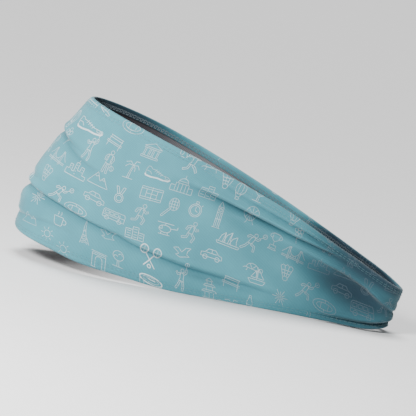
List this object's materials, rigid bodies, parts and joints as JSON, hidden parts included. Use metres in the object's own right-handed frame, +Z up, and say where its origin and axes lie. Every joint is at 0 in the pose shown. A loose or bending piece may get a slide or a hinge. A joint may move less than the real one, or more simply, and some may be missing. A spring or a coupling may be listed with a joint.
{
  "type": "sports headband",
  "caption": "Wide tapered stretch headband: a seamed loop of printed jersey with a wicking lining, turned hems and an elastic-gathered nape.",
  "frame": {"origin": "middle of the bounding box in plan, on the surface the lower rim stands on", "axes": "+X from the brow to the nape, +Y towards the wearer's right side, +Z up through the head opening"},
  "size_m": [0.2493, 0.0758, 0.105],
  "materials": {
    "shell_jersey": "printed stretch jersey, matt",
    "lining_knit": "brushed wicking knit, matt",
    "hem_thread_outer": "polyester sewing thread, slight sheen",
    "hem_thread_inner": "textured polyester thread, soft",
    "elastic_tape": "woven elastic tape, matt",
    "label_satin": "woven satin tape, blank"
  },
  "bodies": {
    "band": {"printed_shell": "shell_jersey", "inner_lining": "lining_knit", "upper_hem_needle_thread": "hem_thread_outer", "upper_hem_looper_thread": "hem_thread_inner", "lower_hem_needle_thread": "hem_thread_outer", "lower_hem_looper_thread": "hem_thread_inner", "nape_elastic": "elastic_tape", "elastic_tack_left": "hem_thread_inner", "elastic_tack_right": "hem_thread_inner"},
    "nape": {"nape_seam_thread": "hem_thread_inner"},
    "label": {"care_label": "label_satin"}
  },
  "joints": [
    {"name": "nape_stretch", "type": "slide", "parent": "band", "child": "nape", "axis": [1, 0, 0], "range_m": [0, 0.045], "stiffness_N_per_m": 120, "deforming": ["printed_shell", "inner_lining", "upper_hem_needle_thread", "upper_hem_looper_thread", "lower_hem_needle_thread", "lower_hem_looper_thread", "nape_elastic", "elastic_tack_left", "elastic_tack_right"]},
    {"name": "label_flap", "type": "hinge", "parent": "nape", "child": "label", "pos_m": [0.11688, 0, 0.016], "axis": [0, 0, 1], "range_deg": [-15, 7], "stiffness_Nm_per_rad": 0.0001}
  ]
}
